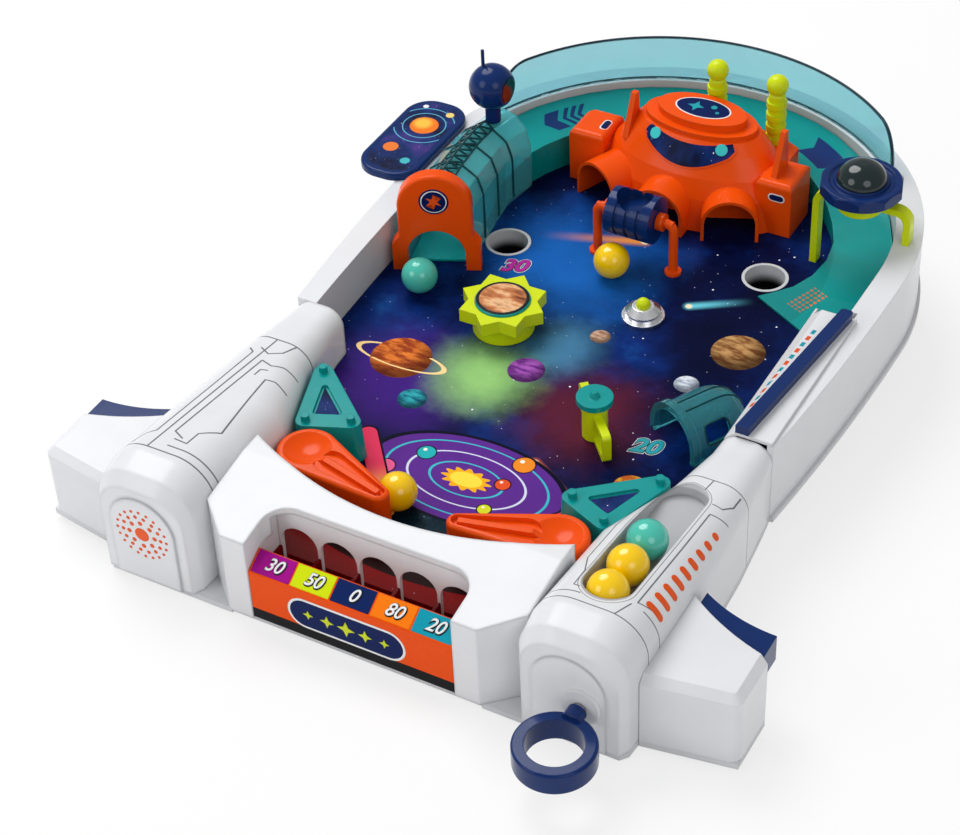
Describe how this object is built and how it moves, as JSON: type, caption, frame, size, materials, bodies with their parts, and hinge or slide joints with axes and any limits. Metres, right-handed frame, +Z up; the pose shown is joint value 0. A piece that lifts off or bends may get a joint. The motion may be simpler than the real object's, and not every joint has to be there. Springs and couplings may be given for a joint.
{
  "type": "tabletop pinball game",
  "caption": "Tabletop toy pinball game: tilted tub with a space playfield, finger triggers that swing flippers, a pull plunger, ramp, tunnel, spinners and score bays.",
  "frame": {"origin": "centre of the box's underside, on the surface that the feet stand on", "axes": "+Z up, +Y from the player towards the back, +X to the player's right"},
  "size_m": [0.34, 0.4713, 0.1254],
  "materials": {
    "white": "gloss moulded",
    "grey": "satin moulded",
    "print": "printed sheet",
    "orange": "gloss moulded",
    "teal": "gloss moulded",
    "clear_teal": "clear moulded",
    "clear_blue": "clear moulded",
    "navy": "gloss moulded",
    "lime": "gloss moulded",
    "dark": "gloss moulded",
    "dark_red": "satin moulded",
    "chrome": "plated",
    "steel": "bare",
    "yellow": "gloss moulded",
    "ball_teal": "gloss moulded",
    "rubber": "matt"
  },
  "bodies": {
    "cabinet": {"base_plate": "grey", "housing": "white", "left_booster": "white", "right_booster": "white", "left_pod": "white", "right_pod": "white", "playfield": "print", "hole_cups": "dark", "apron": "white", "bay_wall": "white", "score_tray": "orange", "left_sling": "teal", "right_sling": "teal", "track": "teal", "tunnel": "clear_teal", "tunnel_portal": "orange", "lookout_head": "navy", "sign_frame": "navy", "sign_panel": "print", "windscreen": "clear_blue", "station": "orange", "antennas": "lime", "gate_frame": "orange", "spinner_pins": "steel", "bell": "chrome", "bell_cap": "lime", "helmet": "clear_teal", "ufo_legs": "lime", "ufo_disc": "navy", "ufo_dome": "dark", "lane_guide": "grey", "lane_rail": "navy", "plunger_bush": "white", "screws": "steel", "feet": "rubber", "plunger_spring": "steel", "right_trigger_spring": "steel", "left_trigger_spring": "steel"},
    "right_button": {"right_trigger": "navy", "right_link": "grey"},
    "left_button": {"left_trigger": "navy", "left_link": "grey"},
    "right_flipper": {"right_flipper": "orange", "right_crank": "grey"},
    "left_flipper": {"left_flipper": "orange", "left_crank": "grey"},
    "plunger": {"plunger_ring": "navy", "plunger_rod": "steel", "plunger_collar": "steel"},
    "star": {"star_wheel": "lime", "star_badge": "print"},
    "turnstile": {"turnstile": "lime", "turnstile_cap": "teal"},
    "gate": {"gate_cup": "navy"},
    "trough_ball_1": {"trough_ball_1": "yellow"},
    "trough_ball_2": {"trough_ball_2": "yellow"},
    "trough_ball_3": {"trough_ball_3": "ball_teal"},
    "flipper_ball": {"flipper_ball": "yellow"},
    "gate_ball": {"gate_ball": "yellow"},
    "portal_ball": {"portal_ball": "ball_teal"}
  },
  "joints": [
    {"name": "right_trigger_pull", "type": "slide", "parent": "cabinet", "child": "right_button", "axis": [0, -0.9968, -0.0797], "range_m": [0, 0.006], "stiffness_N_per_m": 300, "springref_m": -0.004, "deforming": ["right_trigger_spring"]},
    {"name": "left_trigger_pull", "type": "slide", "parent": "cabinet", "child": "left_button", "axis": [0, -0.9968, -0.0797], "range_m": [0, 0.006], "stiffness_N_per_m": 300, "springref_m": -0.004, "deforming": ["left_trigger_spring"]},
    {"name": "right_flipper_swing", "type": "hinge", "parent": "cabinet", "child": "right_flipper", "pos_m": [0.0625, -0.12326, 0.02651], "axis": [0, -0.0797, 0.9968], "range_deg": [-38, 0]},
    {"name": "left_flipper_swing", "type": "hinge", "parent": "cabinet", "child": "left_flipper", "pos_m": [-0.0625, -0.12326, 0.02651], "axis": [0, -0.0797, 0.9968], "range_deg": [0, 38]},
    {"name": "plunger_pull", "type": "slide", "parent": "cabinet", "child": "plunger", "axis": [0, -0.9968, -0.0797], "range_m": [0, 0.022], "stiffness_N_per_m": 250, "springref_m": -0.006, "deforming": ["plunger_spring"]},
    {"name": "star_spin", "type": "hinge", "parent": "cabinet", "child": "star", "pos_m": [-0.039, 0.01351, 0.04748], "axis": [0, -0.0797, 0.9968], "continuous": true},
    {"name": "turnstile_spin", "type": "hinge", "parent": "cabinet", "child": "turnstile", "pos_m": [0.036, -0.03733, 0.04341], "axis": [0, -0.0797, 0.9968], "continuous": true},
    {"name": "gate_flip", "type": "hinge", "parent": "cabinet", "child": "gate", "pos_m": [-0.0053, 0.08688, 0.0709], "axis": [1, 0, 0], "continuous": true},
    {"name": "trough_ball_1_lift", "type": "slide", "parent": "cabinet", "child": "trough_ball_1", "axis": [0, -0.0797, 0.9968], "range_m": [0, 0.04]},
    {"name": "trough_ball_2_lift", "type": "slide", "parent": "cabinet", "child": "trough_ball_2", "axis": [0, -0.0797, 0.9968], "range_m": [0, 0.04]},
    {"name": "trough_ball_3_lift", "type": "slide", "parent": "cabinet", "child": "trough_ball_3", "axis": [0, -0.0797, 0.9968], "range_m": [0, 0.04]},
    {"name": "flipper_ball_lift", "type": "slide", "parent": "left_flipper", "child": "flipper_ball", "axis": [0, -0.0797, 0.9968], "range_m": [0, 0.04]},
    {"name": "gate_ball_lift", "type": "slide", "parent": "cabinet", "child": "gate_ball", "axis": [0, -0.6618, 0.7497], "range_m": [0, 0.04]},
    {"name": "portal_ball_lift", "type": "slide", "parent": "cabinet", "child": "portal_ball", "axis": [0, -0.0797, 0.9968], "range_m": [0, 0.04]}
  ],
  "couplings": [
    {"joint": "right_flipper_swing", "follows": "right_trigger_pull", "rad_per_m": -110.5},
    {"joint": "left_flipper_swing", "follows": "left_trigger_pull", "rad_per_m": 110.5}
  ]
}
